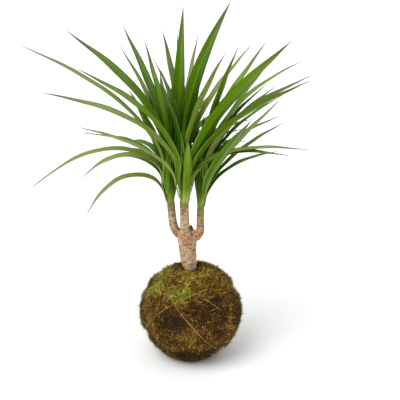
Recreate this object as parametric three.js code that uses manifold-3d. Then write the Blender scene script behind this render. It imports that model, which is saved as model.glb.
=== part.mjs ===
// Kokedama: a young dragon tree whose ball of soil is wrapped in moss and bound with twine.
// Millimetres. +Z is up, +X is to the right and +Y is away from the viewer.
// The origin is the middle of the small flat spot that the ball rests on.

import * as THREE from "three";
import { mergeVertices } from "three/addons/utils/BufferGeometryUtils.js";
import Module from "manifold-3d";

const wasm = await Module();
wasm.setup();

const GAP = 0.3; // left open between pieces that touch
const SLIVER = 0.03;

// The ball
const BALL_RADIUS = 52.5;
const FLAT_SPOT_RADIUS = 20;
const BALL_CENTRE = new THREE.Vector3(0, 0, Math.sqrt(BALL_RADIUS ** 2 - FLAT_SPOT_RADIUS ** 2));
const SOIL_RADIUS = 45;
const MOSS_DETAIL = 10;
const SOIL_DETAIL = 3;
const DENT_DEPTH = 5; // the moss dips towards the foot of the cane
const DENT_WIDTH = 17;

// Swells of the moss: the way they run, how many fit along the ball's radius, their height and shift
const SWELLS = [
  [new THREE.Vector3(0.9, 0.1, -0.4), 2.1, 0.7, 0.4],
  [new THREE.Vector3(-0.3, 0.9, 0.3), 2.6, 0.6, 1.9],
  [new THREE.Vector3(0.2, -0.5, 0.8), 5.3, 0.5, 0.8],
  [new THREE.Vector3(-0.7, -0.5, 0.5), 7.1, 0.45, 2.6],
  [new THREE.Vector3(0.6, 0.7, 0.4), 9.7, 0.35, 1.2],
  [new THREE.Vector3(-0.5, 0.4, -0.8), 12.3, 0.3, 0.3],
];

// The twine: loops right round the ball, by the way each one's axis turns and how far it leans
const TWINE_LOOPS = [[7, 51], [57, 52], [124, 47], [155, 30], [300, 53]];
const TWINE_RADIUS = 0.6;
const TWINE_SIDES = 3;
const TWINE_STEPS = 36;
const TWINE_REST = 0.45; // clear of the moss under it
const VALLEY_DEPTH = 1.3; // the twine pulls the moss in
const VALLEY_WIDTH = 4;

// The cane, from its foot in the soil to its sawn top: centre and radius
const CANE = [
  [[0.6, 0, 56], 6.5],
  [[0.3, 0, 62], 7.9],
  [[-0.6, 0, 88], 8.2],
  [[-1.4, 0, 96], 8.3],
  [[-1.9, 0, 106], 8.5],
  [[-2.2, 0, 116], 8.6],
  [[-2.7, 0, 125], 8.9],
  [[-3.1, 0, 132], 9.2],
  [[-3.2, 0.6, 137], 8.3],
  [[-3.3, 1.2, 140], 7.2],
];
const CANE_SIDES = 12;
const CANE_STEPS = 16;

// The three shoots, from inside the cane up to where the leaves begin
const SHOOTS = {
  left: { path: [[-5, 1, 128], [-11.5, 1.6, 130.5], [-15.6, 2, 137], [-17.6, 2, 148], [-19.4, 2, 168]], radius: 3.4 },
  middle: { path: [[-3, -5, 127], [-4.6, -8.2, 133.5], [-5, -7, 142], [-5.4, -6, 155], [-5.9, -5, 172]], radius: 4.1 },
  right: { path: [[2, 0, 126], [7.2, 0.4, 129], [10.6, 1, 135.5], [10.6, 1.6, 146], [10.8, 2, 162]], radius: 3.3 },
};
const SHOOT_SIDES = 8;
const SCAR_SPACING = 5; // rings where old leaves fell off
const SCAR_HEIGHT = 0.25;

// Swellings where the shoots broke out of the cane: centre and half sizes
const KNOBS = [
  [[-10.8, 1, 132], [5.6, 5, 5]],
  [[-4.4, -7, 133], [5.4, 4.2, 5.6]],
  [[7.4, 0, 131.5], [6, 5.4, 5.4]],
  [[1.5, -6.5, 129], [3.8, 3, 4]],
  [[-1, 6.5, 130], [4.5, 3.4, 5]],
];

// Leaves that show: the way they turn, their lean at the root and at the tip, length and width
const LEAVES = {
  left: [
    [195, 7, 61, 218, 9], [182, 0, 128, 176, 9.5], [150, 6, 131, 138, 9], [130, 20, 94, 90, 9],
    [170, 15, 148, 118, 9], [222, 0, 52, 218, 12], [228, 2, 29, 180, 11], [140, 0, 40, 150, 10],
    [245, 3, 26, 163, 10], [157, 14, 31, 103, 9],
  ],
  middle: [
    [200, 9, 73, 186, 10], [205, 27, 68, 135, 8], [225, 10, 59, 197, 10], [215, 9, -5, 172, 12],
    [300, -10, 41, 218, 12.5], [112, 0, 33, 154, 12], [230, -10, 32, 140, 8], [120, 13, 0, 145, 10],
    [75, -10, 37, 150, 11], [45, 0, 56, 165, 9], [310, 0, 35, 155, 9], [330, 14, 47, 197, 12],
    [335, 18, 61, 182, 10], [345, 21, 90, 144, 9], [290, 5, 12, 43, 8.5],
  ],
  right: [
    [312, 4, 26, 161, 11], [20, 0, 38, 163, 11], [44, 1, 79, 205, 9], [51, 14, 60, 159, 10],
    [306, 3, 60, 185, 10], [29, 4, 60, 138, 9], [325, 29, 42, 128, 10], [14, 2, 70, 117, 9],
    [34, 35, 72, 124, 8], [40, 39, 92, 114, 9], [296, 35, 50, 147, 10],
  ],
};

// The rest of each crown: leaves that arch out at the back, and short upright ones in the heart
const BACK_LEAVES = 8;
const HEART_LEAVES = 6;
const GOLDEN_PART = 0.618;

const RIB_STEPS = 24;
const BLADE_STATIONS = 6;
const BLADE_THICKNESS = 1.2;
const BLADE_FOLD = 0.16; // how far the edges rise, as a part of the width
// The bundle of clasping leaf bases that each crown opens out of: height above the shoot, and radius as a
// part of the shoot's
const BUNDLE = [[0, 0], [0, 1], [7, 1.15], [16, 1.7], [24, 1.75], [38, 1.1], [48, 0]];
const TURN_STEP = 4; // degrees that a leaf turns at a time to clear another crown
const MOST_TURNS = 44;

const COLOURS = { soil: 0x3b2a1c, moss: 0x6b6a1f, twine: 0xb59a5b, bark: 0xb89a7c, leaf: 0x4c8a1e };

// Shapes

// The way that something points which turns by one angle round +Z and leans from it by another, in degrees
function heading(turn, lean) {
  const [round, tilt] = [THREE.MathUtils.degToRad(turn), THREE.MathUtils.degToRad(lean)];
  return new THREE.Vector3(Math.cos(round) * Math.sin(tilt), Math.sin(round) * Math.sin(tilt), Math.cos(tilt));
}

function solid(geometry) {
  const bare = geometry.clone();
  bare.deleteAttribute("normal");
  bare.deleteAttribute("uv");
  const merged = mergeVertices(bare, 1e-4);
  const corners = [];
  for (let i = 0; i < merged.index.count; i += 3) {
    const [a, b, c] = [merged.index.getX(i), merged.index.getX(i + 1), merged.index.getX(i + 2)];
    if (a !== b && b !== c && c !== a) corners.push(a, b, c);
  }
  const vertProperties = new Float32Array(merged.attributes.position.array);
  return new wasm.Manifold(new wasm.Mesh({ numProp: 3, vertProperties, triVerts: new Uint32Array(corners) }));
}

function moulded(geometry, place) {
  const points = geometry.attributes.position;
  for (let i = 0; i < points.count; i++) {
    const p = place(points.getX(i), points.getY(i), points.getZ(i));
    points.setXYZ(i, p.x, p.y, p.z);
  }
  return solid(geometry);
}

function joined(solids) {
  return solids.reduce((whole, next) => whole.add(next));
}

// The largest body of a fused shape: hollows that the fusing sealed are filled, scraps are dropped, and
// slivers narrower than SLIVER go
function wholeBody(shape) {
  const bodies = shape.simplify(SLIVER).decompose();
  return bodies.reduce((largest, next) => (next.volume() > largest.volume() ? next : largest));
}

function ball(radius, detail, heightAt = () => 0) {
  return moulded(new THREE.IcosahedronGeometry(1, detail), (x, y, z) => {
    const way = new THREE.Vector3(x, y, z).normalize();
    return way.clone().multiplyScalar(radius + heightAt(way)).add(BALL_CENTRE);
  });
}

function lump(centre, halfSizes) {
  const shape = new THREE.IcosahedronGeometry(1, 1);
  shape.scale(...halfSizes);
  shape.translate(...centre);
  return solid(shape);
}

// A round limb along a curve; radiusAt gives its radius at a share of its length, or at a place on it
function limb(points, radiusAt, sides, steps) {
  const curve = new THREE.CatmullRomCurve3(points.map((p) => new THREE.Vector3(...p)));
  const frames = curve.computeFrenetFrames(steps);
  return moulded(new THREE.CylinderGeometry(1, 1, 1, sides, steps), (x, y, z) => {
    const share = y + 0.5;
    const step = Math.round(share * steps);
    const centre = curve.getPointAt(share);
    const radius = radiusAt(share, centre);
    return centre
      .addScaledVector(frames.normals[step], z * radius)
      .addScaledVector(frames.binormals[step], x * radius);
  });
}

// Ball

function mossHeight(way) {
  let height = 0;
  for (const [run, waves, tall, shift] of SWELLS) height += tall * Math.sin(waves * way.dot(run) + shift);
  for (const loop of TWINE_LOOPS) {
    const across = BALL_RADIUS * way.dot(heading(...loop));
    height -= VALLEY_DEPTH * Math.exp(-((across / VALLEY_WIDTH) ** 2));
  }
  const fromCane = BALL_RADIUS * Math.hypot(way.x, way.y);
  if (way.z > 0) height -= DENT_DEPTH * Math.exp(-((fromCane / DENT_WIDTH) ** 2));
  return height;
}

function makeSoil() {
  return ball(SOIL_RADIUS, SOIL_DETAIL).subtract(caneShaft(GAP));
}

function makeMoss() {
  const under = new THREE.BoxGeometry(3 * BALL_RADIUS, 3 * BALL_RADIUS, BALL_RADIUS);
  under.translate(0, 0, -BALL_RADIUS / 2);
  return ball(BALL_RADIUS, MOSS_DETAIL, mossHeight)
    .subtract(ball(SOIL_RADIUS + GAP, SOIL_DETAIL))
    .subtract(caneShaft(GAP))
    .subtract(solid(under));
}

// The twine lies on the moss as it was made, so its reach is measured on that
function makeTwine(moss) {
  const caster = new THREE.Raycaster();
  const mossAt = (way) => {
    const far = way.clone().multiplyScalar(2 * BALL_RADIUS).add(BALL_CENTRE);
    caster.set(far, way.clone().negate());
    return 2 * BALL_RADIUS - caster.intersectObject(moss)[0].distance;
  };
  const halfSteps = [-1, -0.5, 0, 0.5, 1].map((share) => (share * Math.PI) / TWINE_STEPS);
  const loops = TWINE_LOOPS.map((loop) => {
    const axis = heading(...loop);
    const upright = new THREE.Quaternion().setFromUnitVectors(new THREE.Vector3(0, 0, 1), axis);
    const ring = new THREE.TorusGeometry(BALL_RADIUS, TWINE_RADIUS, TWINE_SIDES, TWINE_STEPS);
    return moulded(ring, (x, y, z) => {
      const way = new THREE.Vector3(x, y, 0).normalize();
      const outwards = Math.hypot(x, y) - BALL_RADIUS;
      way.applyQuaternion(upright);
      const highest = Math.max(...halfSteps.map((turn) => mossAt(way.clone().applyAxisAngle(axis, turn))));
      const reach = highest + TWINE_REST + TWINE_RADIUS + outwards;
      return way.multiplyScalar(reach).addScaledVector(axis, z).add(BALL_CENTRE);
    });
  });
  return wholeBody(joined(loops));
}

// Cane

// The cane without its shoots; with some spare it is the hole that the foot stands in
function caneShaft(spare = 0) {
  const points = CANE.map(([centre]) => [...centre]);
  points[0][2] -= spare;
  const radiusAt = (share, { z }) => {
    const passed = CANE.filter(([centre]) => centre[2] <= z).length;
    const above = Math.min(CANE.length - 1, Math.max(1, passed));
    const [[low, lowRadius], [high, highRadius]] = [CANE[above - 1], CANE[above]];
    return spare + THREE.MathUtils.mapLinear(z, low[2], high[2], lowRadius, highRadius);
  };
  return limb(points, radiusAt, CANE_SIDES, CANE_STEPS);
}

function makeCane() {
  const pieces = [caneShaft()];
  for (const [centre, halfSizes] of KNOBS) pieces.push(lump(centre, halfSizes));
  for (const { path, radius } of Object.values(SHOOTS)) {
    const length = new THREE.CatmullRomCurve3(path.map((p) => new THREE.Vector3(...p))).getLength();
    const rings = Math.round(length / SCAR_SPACING);
    const shootRadius = (share) => {
      const swollen = 1 + 0.25 * (1 - share) ** 2;
      const scar = Math.round(share * 2 * rings) % 2 ? SCAR_HEIGHT : 0;
      return radius * swollen + scar;
    };
    pieces.push(limb(path, shootRadius, SHOOT_SIDES, 2 * rings));
  }
  return wholeBody(joined(pieces));
}

// Leaves

function part(number) {
  return number - Math.floor(number);
}

// Each crown's leaves differ by its start, from 0 to 1
function seenLeaves(name, start) {
  return LEAVES[name].map(([turn, first, last, length, width], i) => (
    { turn, first, last, length, width, sweep: 0, twist: 24 * Math.sin(2.4 * i + start) }
  ));
}

function otherLeaves(name, start) {
  const leaves = [];
  for (let i = 0; i < BACK_LEAVES; i++) {
    const spread = part(start + i * GOLDEN_PART);
    const low = part(0.37 + i * GOLDEN_PART * GOLDEN_PART);
    leaves.push({
      turn: 25 + 130 * spread,
      first: 7 + 10 * low,
      last: 62 + 46 * low,
      length: 142 - 28 * low,
      width: 9.5 + 1.5 * spread,
      sweep: 16 * (spread - 0.5),
      twist: 24 * Math.sin(2.4 * i),
    });
  }
  for (let i = 0; i < HEART_LEAVES; i++) {
    const inner = i / (HEART_LEAVES - 1);
    leaves.push({
      turn: 360 * part(start + i * GOLDEN_PART),
      first: 3,
      last: 28 - 22 * inner,
      length: 120 - 62 * inner,
      width: 10.5 - 3 * inner,
      sweep: 0,
      twist: 16 * Math.sin(1.7 * i),
    });
  }
  return leaves;
}

function leafRoot(top, turn, first, last) {
  const high = 1 - Math.min(1, Math.max(0, first + last) / 180);
  const out = heading(turn, 90).multiplyScalar(1.6 - high);
  return top.clone().add(out).add(new THREE.Vector3(0, 0, 3 + 24 * high));
}

function midrib(top, { turn, first, last, length, sweep }) {
  const place = leafRoot(top, turn, first, last);
  const rib = [{ place: place.clone(), turn, lean: first }];
  for (let i = 0; i < RIB_STEPS; i++) {
    const [half, full] = [(i + 0.5) / RIB_STEPS, (i + 1) / RIB_STEPS];
    const leanAt = (share) => first + (last - first) * (1 - (1 - share) ** 2);
    place.addScaledVector(heading(turn + sweep * half, leanAt(half)), length / RIB_STEPS);
    rib.push({ place: place.clone(), turn: turn + sweep * full, lean: leanAt(full) });
  }
  return rib;
}

function bladeWidth(share) {
  const clasp = 0.55 + 0.45 * Math.min(1, share / 0.35) ** 1.2;
  return clasp * Math.sin((Math.PI / 2) * Math.min(1, (1 - share) / 0.55)) ** 0.9;
}

function makeBlade(top, leaf, spare = 0) {
  const rib = midrib(top, leaf);
  return moulded(new THREE.ConeGeometry(1, 1, 4, BLADE_STATIONS), (x, y, z) => {
    const share = y + 0.5;
    const { place, turn, lean } = rib[Math.round(share * RIB_STEPS)];
    if (share > 0.999) return place;
    const along = heading(turn, lean);
    const roll = THREE.MathUtils.degToRad(leaf.twist * share);
    const side = heading(turn + 90, 90).applyAxisAngle(along, roll);
    const face = along.clone().cross(side);
    const half = (leaf.width * bladeWidth(share)) / 2 + spare;
    const edge = -Math.sign(Math.round(x * 1e6));
    const skin = Math.sign(Math.round(z * 1e6)) * (BLADE_THICKNESS * (0.5 - 0.15 * share) + spare);
    return place.clone()
      .addScaledVector(side, edge * half)
      .addScaledVector(face, Math.abs(edge) * 2 * half * BLADE_FOLD * (1 - 0.6 * share) + skin);
  });
}

function overlaps(first, second) {
  const common = first.intersect(second);
  const found = common.volume() > 1e-6;
  common.delete();
  return found;
}

// The leaf turned by the least that clears the other crowns, or nothing where there is no room for it
function clearOf(crowns, top, leaf) {
  for (let tries = 0; tries <= MOST_TURNS; tries++) {
    const away = Math.ceil(tries / 2) * TURN_STEP * (tries % 2 ? 1 : -1);
    const turned = { ...leaf, turn: leaf.turn + away };
    const blade = makeBlade(top, turned, GAP);
    const blocked = crowns.some((crown) => overlaps(crown, blade));
    blade.delete();
    if (!blocked) return turned;
  }
  return null;
}

function makeBundle({ path, radius }) {
  const outline = BUNDLE.map(([height, wide]) => new THREE.Vector2(wide * radius, height));
  const bundle = new THREE.LatheGeometry(outline, SHOOT_SIDES);
  bundle.rotateX(Math.PI / 2);
  bundle.translate(...path[path.length - 1]);
  bundle.translate(0, 0, GAP);
  return solid(bundle);
}

// The leaves that show in the photograph are set first, so they turn the least
function makeCrowns() {
  const crowns = {};
  for (const [name, shoot] of Object.entries(SHOOTS)) crowns[name] = makeBundle(shoot);
  for (const leavesOf of [seenLeaves, otherLeaves]) {
    Object.entries(SHOOTS).forEach(([name, { path }], order) => {
      const top = new THREE.Vector3(...path[path.length - 1]);
      const others = Object.keys(SHOOTS).filter((other) => other !== name).map((other) => crowns[other]);
      for (const leaf of leavesOf(name, part(0.23 + 0.31 * order))) {
        const turned = clearOf(others, top, leaf);
        if (turned) crowns[name] = crowns[name].add(makeBlade(top, turned));
      }
    });
  }
  for (const name of Object.keys(SHOOTS)) crowns[name] = wholeBody(crowns[name]);
  return crowns;
}

// Scene

function mesh(name, body, colour, roughness) {
  const { numProp, vertProperties, triVerts } = body.getMesh();
  const points = new Float32Array((vertProperties.length / numProp) * 3);
  for (let i = 0; i < points.length / 3; i++) {
    for (let k = 0; k < 3; k++) points[3 * i + k] = vertProperties[numProp * i + k];
  }
  const geometry = new THREE.BufferGeometry();
  geometry.setAttribute("position", new THREE.BufferAttribute(points, 3));
  geometry.setIndex(new THREE.BufferAttribute(new Uint32Array(triVerts), 1));
  geometry.computeVertexNormals();
  const made = new THREE.Mesh(geometry, new THREE.MeshStandardMaterial({ color: colour, roughness, metalness: 0 }));
  made.name = name;
  return made;
}

const plant = new THREE.Group();
plant.name = "kokedama";
plant.add(mesh("soil_core", makeSoil(), COLOURS.soil, 0.95));
const moss = mesh("moss_cover", makeMoss(), COLOURS.moss, 0.95);
plant.add(moss);
plant.add(mesh("twine", makeTwine(moss), COLOURS.twine, 0.8));
plant.add(mesh("cane", makeCane(), COLOURS.bark, 0.85));
for (const [name, crown] of Object.entries(makeCrowns())) {
  plant.add(mesh(`leaves_${name}`, crown, COLOURS.leaf, 0.45));
}

export default plant;
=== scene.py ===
"""Dresses the kokedama: a young dragon tree on a soil ball that is wrapped in moss and bound with twine.

Shapes are worked out in millimetres, as in the part's source, and a mesh turns to metres when it is made.
"""

import math

import bmesh
import bpy
import numpy as np
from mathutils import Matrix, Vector, noise
from mathutils.bvhtree import BVHTree
from mathutils.kdtree import KDTree


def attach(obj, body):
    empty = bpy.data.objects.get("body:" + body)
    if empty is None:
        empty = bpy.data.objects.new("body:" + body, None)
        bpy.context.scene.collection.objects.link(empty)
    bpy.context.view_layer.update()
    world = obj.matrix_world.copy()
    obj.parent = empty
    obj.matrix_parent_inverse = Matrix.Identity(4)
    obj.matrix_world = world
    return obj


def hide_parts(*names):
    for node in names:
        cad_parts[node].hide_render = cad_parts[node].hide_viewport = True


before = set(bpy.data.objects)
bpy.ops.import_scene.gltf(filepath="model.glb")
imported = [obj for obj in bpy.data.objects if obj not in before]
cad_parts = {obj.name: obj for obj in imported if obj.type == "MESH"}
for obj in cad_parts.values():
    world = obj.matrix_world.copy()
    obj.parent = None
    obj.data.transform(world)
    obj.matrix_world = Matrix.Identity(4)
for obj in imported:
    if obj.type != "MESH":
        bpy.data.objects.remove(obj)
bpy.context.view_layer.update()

MM = 0.001
chance = np.random.default_rng(7)

# The ball, as in the part's source
BALL_RADIUS = 52.5
FLAT_SPOT_RADIUS = 20
BALL_CENTRE = np.array([0, 0, math.sqrt(BALL_RADIUS**2 - FLAT_SPOT_RADIUS**2)])
DENT_DEPTH = 5
DENT_WIDTH = 17
# The crevice between the moss and the cane's foot, which the part's source leaves out
CREVICE_DEPTH = 3
CREVICE_WIDTH = 9.5

# Swells of the moss: the way they run, how many fit along the ball's radius, their height and shift
SWELLS = [
    ((0.9, 0.1, -0.4), 2.1, 0.7, 0.4),
    ((-0.3, 0.9, 0.3), 2.6, 0.6, 1.9),
    ((0.2, -0.5, 0.8), 5.3, 0.5, 0.8),
    ((-0.7, -0.5, 0.5), 7.1, 0.45, 2.6),
    ((0.6, 0.7, 0.4), 9.7, 0.35, 1.2),
    ((-0.5, 0.4, -0.8), 12.3, 0.3, 0.3),
]

# The twine's loops, by the way each one's axis turns and how far it leans
TWINE_LOOPS = [(7, 51), (57, 52), (124, 47), (155, 30), (300, 53)]
# Where the moss has grown over each loop, in degrees along it
TWINE_HIDDEN = [[(-35, 8)], [(-5, 92), (126, 190)], [(160, 215)], [(30, 205)], [(-12, 168)]]
HIDDEN_DEPTH = 2.2
VALLEY_DEPTH = 1.3
VALLEY_WIDTH = 4
CLOSED_OVER = 5  # a hidden stretch of twine counts as this much further away
TWINE_STEPS = 420
TWINE_RADIUS = 0.5
TWINE_EASE = 4  # steps to each side over which the twine bridges the hollows of the moss
PLIES = 2
PLY_RADIUS = 0.3
PLY_TURN = 3.6  # length along the twine in which a ply goes once round

# Patches of the moss: where each one lies (turn and lean from the top, in degrees), how far it reaches, and
# its tone, from 0 for bare and nearly black through brown and ochre to 1 for fresh green
MOSS_PATCHES = [
    (198, 50, 16, 0.79), (193, 63, 12, 0.78), (176, 33, 14, 0.82), (261, 26, 9, 0.72), (345, 50, 12, 0.52),
    (331, 13, 9, 0.4), (355, 30, 12, 0.4), (270, 85, 8, 0.5), (216, 90, 12, 0.48), (213, 122, 12, 0.56),
    (317, 107, 13, 0.4), (287, 101, 10, 0.36), (315, 64, 8, 0.4), (229, 69, 8, 0.5), (294, 51, 7, 0.44),
    (303, 75, 12, 0.18), (335, 80, 16, 0.14), (304, 94, 10, 0.12), (284, 128, 14, 0.08),
    (262, 132, 14, 0.06), (219, 66, 8, 0.2), (227, 32, 9, 0.2), (314, 31, 11, 0.22), (248, 105, 5, 0.05),
    (309, 59, 7, 0), (273, 63, 11, 0.06), (287, 68, 10, 0.06), (242, 84, 12, 0.02), (252, 79, 9, 0.02),
    (246, 53, 7, 1.05), (254, 48, 7, 1.05), (238, 47, 7, 0.85), (262, 41, 8, 1.0), (286, 34, 9, 0.4),
    (306, 22, 7, 0.9), (232, 18, 7, 0.86), (350, 24, 8, 0.94), (205, 38, 8, 0.95), (0, 0, 12, 0),
]
BED_DEPTH = 1.2  # how far the felt lies under the moss's height, and the strands' roots a little deeper
ROOT_DEPTH = 1.3
LOWEST_STRAND = 0.15  # height over the floor
# Strands of the moss: how many, the shortest and longest, and the middle and spread of their lift in degrees
FIBRES = 27000
FIBRE_LENGTHS = (2.8, 7)
FIBRE_WIDTHS = (0.3, 0.62)
FIBRE_LIFT = (13, 9)
STRAY_PART = 0.11  # of the fibres, which stand up by more
STRAY_LIFTS = (25, 70)
FRONDS = 14000
FROND_LENGTHS = (3.5, 7)
FROND_LIFT = (17, 15)
FROND_LEAVES = 8
STRAND_SHAPES = 8

# The cane and its shoots, within a few millimetres of the part's source but for a rounder foot and top
CANE = [
    ((0.4, 0, 88), 3.6),
    ((0.2, 0, 92), 4.8),
    ((0, 0, 95), 5.8),
    ((-0.3, 0, 98), 6.8),
    ((-0.9, 0, 102), 7.7),
    ((-1.6, 0, 107), 8.2),
    ((-2.3, 0, 116), 8.8),
    ((-2.7, 0, 125), 9.5),
    ((-3.1, 0, 132), 9.4),
    ((-2.8, 0.8, 137), 7.9),
    ((-2, 1.8, 141), 5.6),
    ((-1.2, 2.4, 143.5), 3.8),
]
SHOOTS = {
    "left": ([(-5, 1, 132.5), (-11.8, 1.6, 134.6), (-15.8, 2, 140), (-17.8, 2, 149), (-19.4, 2, 168)], 3.6),
    "middle": ([(-3, -5, 127), (-4.6, -8.2, 133.5), (-5, -7, 142), (-5.4, -6, 155), (-5.9, -5, 172)], 4.1),
    "right": ([(2, 0, 129.5), (7.2, 0.4, 132), (10.5, 1, 137.8), (10.6, 1.6, 146), (10.8, 2, 162)], 3.4),
}
KNOBS = [
    ((-11, 1, 135.6), (5, 4.6, 4.4)),
    ((-4.4, -7, 134), (5.4, 4.4, 5.4)),
    ((7.2, 0, 134.4), (5.6, 5, 4.8)),
    ((1.5, -6.5, 129), (3.8, 3, 4)),
    ((-1, 6.5, 130), (4.5, 3.4, 5)),
]
SCAR_SPACING = 3.6
SCAR_WIDTH = 0.12  # as a part of the spacing
SAWN_HEIGHTS = (138.5, 141)
CANE_STEP = 1.5
BARK_VOXEL = 0.5
BARK_ROUNDS = 6
SMOOTHED_AWAY = 0.4  # what a shoot loses all round when it is grown together with the cane
# Corky swellings round the shoots: centre, reach and strength
CALLUSES = [
    ((-3.8, -10.5, 134), 5, 1.0),
    ((8.4, -3.5, 135), 5.5, 0.75),
    ((-12.5, -3, 137), 4.5, 0.55),
    ((0, 7, 132), 7, 0.6),
]

# Leaves that show, as in the part's source: turn, lean at the root and at the tip, length and width
LEAVES = {
    "left": [
        (195, 7, 61, 218, 9), (182, 0, 128, 176, 9.5), (150, 6, 131, 138, 9), (130, 20, 94, 90, 9),
        (170, 15, 148, 118, 9), (222, 0, 52, 218, 12), (228, 2, 29, 180, 11), (140, 0, 40, 150, 10),
        (245, 3, 26, 163, 10), (157, 14, 31, 103, 9),
    ],
    "middle": [
        (200, 9, 73, 186, 10), (205, 27, 68, 135, 8), (225, 10, 59, 197, 10), (215, 9, -5, 172, 12),
        (300, -10, 41, 218, 12.5), (112, 0, 33, 154, 12), (230, -10, 32, 140, 8), (120, 13, 0, 145, 10),
        (75, -10, 37, 150, 11), (45, 0, 56, 165, 9), (310, 0, 35, 155, 9), (330, 14, 47, 197, 12),
        (335, 18, 61, 182, 10), (345, 21, 90, 144, 9), (290, 5, 12, 43, 8.5),
    ],
    "right": [
        (312, 4, 26, 161, 11), (20, 0, 38, 163, 11), (44, 1, 79, 205, 9), (51, 14, 60, 159, 10),
        (306, 3, 60, 185, 10), (29, 4, 60, 138, 9), (325, 29, 42, 128, 10), (14, 2, 70, 117, 9),
        (34, 35, 72, 124, 8), (40, 39, 92, 114, 9), (296, 35, 50, 147, 10),
    ],
}
# How wide each of these looks from the front, and its tint from deep green at 0 to pale at 1: the leaf's own
# green, raised on some leaves that lie in shade as painted light
LEAF_LOOKS = {
    "left": [
        (3.1, 0.8), (3.5, 0.95), (4.6, 0.95), (3.5, 0.8), (4, 1), (6.6, 0.3), (6.4, 0.25), (3.5, 1),
        (5.2, 0.4), (6.2, 0.4),
    ],
    "middle": [
        (4, 0.8), (2.8, 0.9), (4.7, 0.4), (12, 0.3), (12.5, 0.18), (6.5, 0.8), (3, 0.6), (3, 0.4),
        (4.6, 0.95), (4.5, 0.9), (4.8, 0.7), (9.2, 0.42), (4.2, 0.4), (2.6, 0.8), (8, 0.6),
    ],
    "right": [
        (5.2, 0.5), (5.4, 0.75), (3.8, 0.7), (3.6, 0.5), (4.2, 0.9), (3.8, 0.5), (3.4, 0.85), (3.4, 0.5),
        (3, 0.7), (3.2, 0.6), (6.2, 0.35),
    ],
}
SHORT_LEAF = 50  # a seen leaf shorter than this clasps the crown from outside
BACK_LEAVES = 8
HEART_LEAVES = 6
GOLDEN_PART = 0.618
RIB_STEPS = 24
FINE_RIB_STEPS = 120
BASE_STEPS = 12
BLADE_FOLD = 0.27  # how far the edges rise, as a part of the width
TURN_STEP = 4  # degrees that a leaf turns at a time, as in the part's source
MOST_TURNS = 44
TIP_SLACK = 0.12  # how close a leaf's tip comes to the CAD crown's corner that it belongs to
CLASP_SPREAD = 0.27  # how fast the clasping leaf bases widen with height
CLASP_SPREADS_TO = 20
CLASP_END = 72  # height where a leaf no longer keeps clear of those inside it
SHEATH_LENGTH = 12
SHEATH_REACH = 34  # degrees round the shoot, to each side
# The young leaves in a crown's middle, still rolled together: height over the shoot and extra radius there
HEART = [(-2.5, -0.3), (0, 0), (5, 0.2), (12, 0.8), (22, 1.4), (34, 0.4), (48, -1.2), (60, -3.0)]
# The heart takes the deepest green tint, as painted shade in the crown's middle
HEART_SHADE_TINT = 0.0
PALE_HEIGHT = 20  # a crown is paler down there, where its leaves clasp the shoot
BLADE_STATIONS = 48
BLADE_RING = 16
BLADE_THICKNESS = 0.7
BLADE_WAVE = 0.3

# The photograph's view
EYE = (10.185, -1056.95, 556.16)
LOOKS_DOWN = 20
LENS = 100
FLOOR_REACH = 60  # metres
FLOOR_SHADE = 0.92
ROOM_LIGHT = 0.84
TO_VIEWER = np.array([0, -math.cos(math.radians(LOOKS_DOWN)), math.sin(math.radians(LOOKS_DOWN))])


# Meshes

def shape_of(bm):
    """The points and the faces of a bmesh, ready to be stamped many times."""
    bm.verts.index_update()
    points = np.array([v.co for v in bm.verts])
    faces = [[v.index for v in f.verts] for f in bm.faces]
    bm.free()
    return points, faces


def gathered(name, stamps, marks=None):
    """One mesh out of many copies. Each stamp is the points of its copies, (copies, points, 3), and the
    faces of one copy. Marks are numbers kept on the points, such as how far along a blade each one lies."""
    points, corners, sizes, count = [], [], [], 0
    for places, faces in stamps:
        copies, each = places.shape[:2]
        firsts = count + each * np.arange(copies)
        corners.append((np.concatenate(faces)[None, :] + firsts[:, None]).ravel())
        sizes.append(np.tile([len(face) for face in faces], copies))
        points.append(places.reshape(-1, 3))
        count += copies * each
    corners, sizes = np.concatenate(corners), np.concatenate(sizes)
    mesh = bpy.data.meshes.new(name)
    mesh.vertices.add(count)
    mesh.vertices.foreach_set("co", (np.concatenate(points) * MM).astype(np.float32).ravel())
    mesh.loops.add(len(corners))
    mesh.loops.foreach_set("vertex_index", corners.astype(np.int32))
    mesh.polygons.add(len(sizes))
    mesh.polygons.foreach_set("loop_start", (np.cumsum(sizes) - sizes).astype(np.int32))
    mesh.update(calc_edges=True)
    for mark, values in (marks or {}).items():
        mark_points(mesh, mark, values)
    return mesh


def mark_points(mesh, mark, values):
    attribute = mesh.attributes.new(mark, "FLOAT", "POINT")
    attribute.data.foreach_set("value", np.asarray(values, np.float32).ravel())


def points_of(mesh):
    flat = np.empty(3 * len(mesh.vertices), np.float32)
    mesh.vertices.foreach_get("co", flat)
    return flat.reshape(-1, 3).astype(float) / MM


def move_points(mesh, points):
    mesh.vertices.foreach_set("co", (points * MM).astype(np.float32).ravel())
    mesh.update()


def placed(name, data):
    """A new object in the scene."""
    made = bpy.data.objects.new(name, data)
    bpy.context.scene.collection.objects.link(made)
    return made


def make_piece(mesh, material, slot, *nodes):
    """A finished piece of the plant, which stands for the CAD nodes that are named."""
    piece = placed(mesh.name, mesh)
    mesh.materials.append(material)
    mesh.shade_smooth()
    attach(piece, "root")
    if nodes:
        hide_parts(*nodes)


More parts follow.
